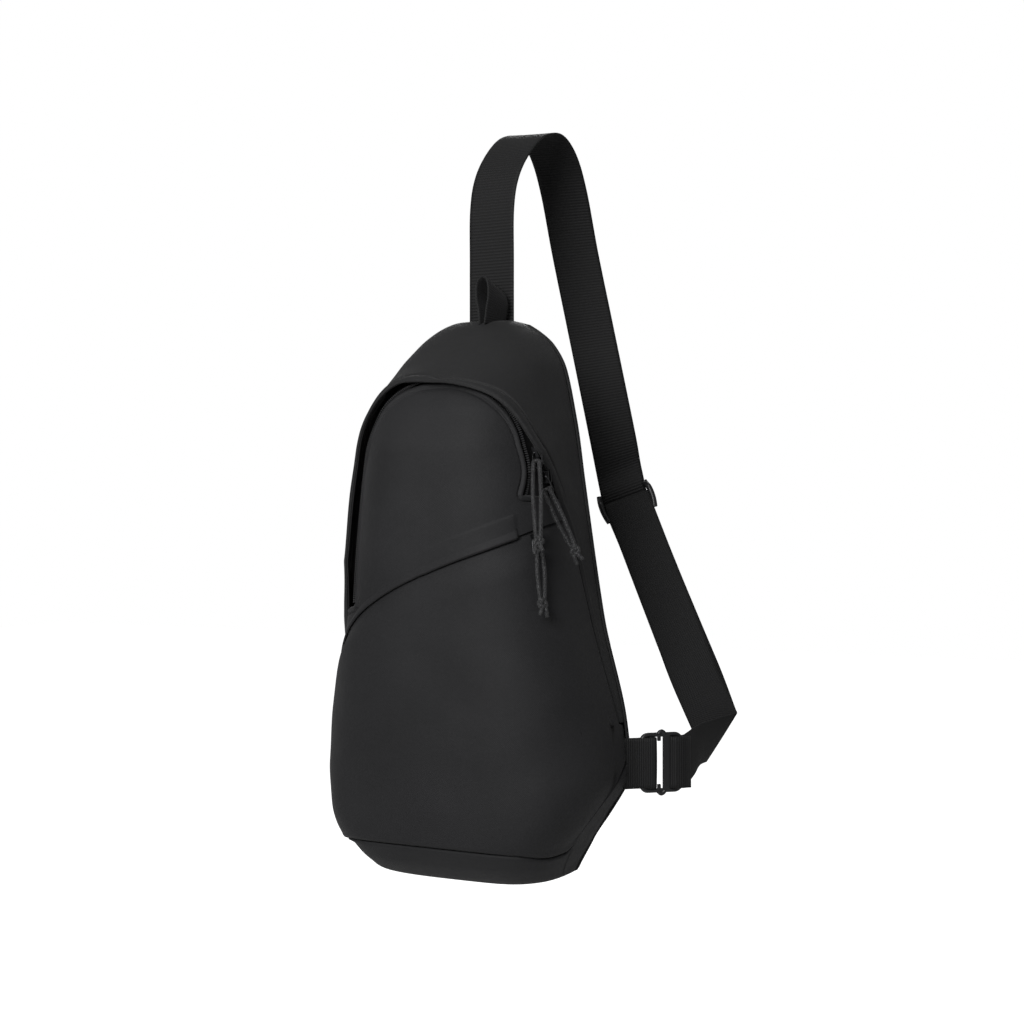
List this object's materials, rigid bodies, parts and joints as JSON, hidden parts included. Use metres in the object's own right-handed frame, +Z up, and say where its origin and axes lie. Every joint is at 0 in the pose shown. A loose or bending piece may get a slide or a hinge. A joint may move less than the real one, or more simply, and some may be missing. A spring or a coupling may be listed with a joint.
{
  "type": "sling bag",
  "caption": "Black teardrop sling bag with an arched main zip under a storm flap, a slanted front pocket, cord zip pulls and a wide one-shoulder webbing strap.",
  "frame": {"origin": "underside of the strap's crown, where the shoulder carries the bag", "axes": "+Z up as worn, -Y out of the front of the bag, +Y towards the wearer's back, +X to the right seen from the front"},
  "size_m": [0.2765, 0.2543, 0.5836],
  "materials": {
    "black_polyester": "matte tight plain weave",
    "black_webbing": "ribbed webbing",
    "grey_lining": "matte",
    "black_acetal": "satin",
    "black_metal": "satin",
    "black_foam": "matte"
  },
  "bodies": {
    "bag": {"hood_panel": "black_polyester", "hood_hem_facing": "black_polyester", "hood_zip_tape": "black_webbing", "zip_leg": "black_webbing", "zip_stop_left": "black_metal", "zip_stop_right": "black_metal", "lower_lobe_panel": "black_polyester", "pocket_welt": "black_polyester", "front_pocket_panel": "black_polyester", "pocket_zip_tape": "black_webbing", "pocket_zip_coil": "black_acetal", "pocket_divider": "grey_lining", "base_front_panel": "black_polyester", "base_board": "black_polyester", "back_panel": "black_polyester", "back_foam": "black_foam", "back_lining": "grey_lining", "grab_loop": "black_webbing", "shoulder_strap": "black_webbing", "strap_return_leg": "black_webbing", "side_tab": "black_webbing"},
    "flap": {"front_flap": "black_polyester", "flap_piping": "black_polyester", "flap_zip_tape": "black_webbing"},
    "slider_a": {"slider_a": "black_metal"},
    "slider_b": {"slider_b": "black_metal"},
    "slider_c": {"slider_c": "black_metal"},
    "adjuster": {"strap_adjuster": "black_acetal", "adjuster_loop": "black_webbing"},
    "side_ring": {"side_buckle": "black_acetal", "strap_end": "black_webbing"},
    "pull_a": {"pull_a_ring": "black_metal", "pull_a_strand_1": "black_polyester", "pull_a_strand_2": "black_polyester", "pull_a_knot": "black_polyester"},
    "pull_b": {"pull_b_ring": "black_metal", "pull_b_strand_1": "black_polyester", "pull_b_strand_2": "black_polyester", "pull_b_knot": "black_polyester"},
    "pull_c": {"pull_c_ring": "black_metal", "pull_c_strand_1": "black_polyester", "pull_c_strand_2": "black_polyester", "pull_c_knot": "black_polyester"}
  },
  "joints": [
    {"name": "flap_fold", "type": "hinge", "parent": "bag", "child": "flap", "pos_m": [-0.005, -0.1835, -0.3137], "axis": [0.7346, 0, 0.6785], "range_deg": [0, 40]},
    {"name": "slider_a_travel", "type": "hinge", "parent": "bag", "child": "slider_a", "pos_m": [-0.002, -0.14, -0.2822], "axis": [0.0739, -0.9855, -0.1528], "range_deg": [0, 30]},
    {"name": "slider_b_travel", "type": "hinge", "parent": "bag", "child": "slider_b", "pos_m": [-0.002, -0.14, -0.2822], "axis": [0.0739, -0.9855, -0.1528], "range_deg": [0, 6]},
    {"name": "slider_c_travel", "type": "hinge", "parent": "bag", "child": "slider_c", "pos_m": [0.01986, -0.121, -0.33371], "axis": [-0.2991, -0.2033, 0.9323], "range_deg": [-29, 0]},
    {"name": "pull_a_swing", "type": "hinge", "parent": "slider_a", "child": "pull_a", "pos_m": [0.06721, -0.14215, -0.26203], "axis": [-0.9693, -0.1599, -0.1866], "range_deg": [0, 40]},
    {"name": "pull_b_swing", "type": "hinge", "parent": "slider_b", "child": "pull_b", "pos_m": [0.07009, -0.13909, -0.28035], "axis": [-0.9062, -0.0167, -0.4226], "range_deg": [0, 33]},
    {"name": "pull_c_swing", "type": "hinge", "parent": "slider_c", "child": "pull_c", "pos_m": [0.07418, -0.15343, -0.32336], "axis": [-0.5354, -0.8442, 0.0247], "range_deg": [0, 27]},
    {"name": "adjuster_slide", "type": "slide", "parent": "bag", "child": "adjuster", "axis": [0.4248, -0.1133, -0.8982], "range_m": [0, 0.05], "deforming": ["strap_return_leg"]},
    {"name": "ring_turn", "type": "hinge", "parent": "bag", "child": "side_ring", "pos_m": [0.12056, -0.06947, -0.4922], "axis": [0, 0, 1], "range_deg": [-10, 10], "deforming": ["strap_end"]}
  ]
}
